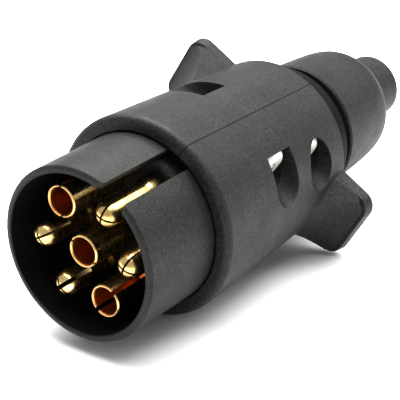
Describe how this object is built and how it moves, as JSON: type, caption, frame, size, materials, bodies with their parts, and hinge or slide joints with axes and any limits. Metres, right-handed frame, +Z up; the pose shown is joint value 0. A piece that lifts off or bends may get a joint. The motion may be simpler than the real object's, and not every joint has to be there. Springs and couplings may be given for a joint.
{
  "type": "trailer wiring connector",
  "caption": "Round trailer plug with a keyed shroud around tube and pin contacts, finger wings on a split sleeve, and a screw gland for the cable.",
  "frame": {"origin": "centre of the mating rim, on the plug's axis", "axes": "-Y out of the mating end, +Y towards the cable gland, +Z up with the plug lying on its sleeve; the keyway is rolled 31.8 degrees from +Z towards +X"},
  "size_m": [0.0603, 0.1255, 0.049],
  "materials": {
    "shell_plastic": "fine-grained satin moulding",
    "insert_plastic": "fine-grained satin moulding, darker inside",
    "gland_plastic": "fine-grained satin moulding",
    "contact_brass": "polished turned brass",
    "screw_steel": "bright zinc plate",
    "seal_rubber": "matt"
  },
  "bodies": {
    "housing": {"cable_seal": "seal_rubber", "contact_carrier": "insert_plastic", "contact_pin_bottom": "contact_brass", "contact_pin_left": "contact_brass", "contact_pin_right": "contact_brass", "contact_pin_top": "contact_brass", "contact_retainer": "insert_plastic", "contact_shroud": "insert_plastic", "contact_tube_centre": "contact_brass", "contact_tube_lower": "contact_brass", "contact_tube_upper": "contact_brass", "gland_body": "gland_plastic", "housing_nuts": "screw_steel", "housing_screws": "screw_steel", "shell_left": "shell_plastic", "shell_right": "shell_plastic", "terminal_screw_bottom": "screw_steel", "terminal_screw_centre": "screw_steel", "terminal_screw_left": "screw_steel", "terminal_screw_lower": "screw_steel", "terminal_screw_right": "screw_steel", "terminal_screw_top": "screw_steel", "terminal_screw_upper": "screw_steel"},
    "slip_ring": {"compression_ring": "insert_plastic"},
    "nut": {"gland_nut": "gland_plastic"}
  },
  "joints": [
    {"name": "nut_travel", "type": "slide", "parent": "housing", "child": "slip_ring", "axis": [0, 1, 0], "range_m": [-0.003, 0.006]},
    {"name": "nut_turn", "type": "hinge", "parent": "slip_ring", "child": "nut", "pos_m": [0, 0.1, 0], "axis": [0, 1, 0], "range_deg": [-541, 1081]}
  ],
  "couplings": [
    {"joint": "nut_turn", "follows": "nut_travel", "rad_per_m": 3141.6}
  ]
}
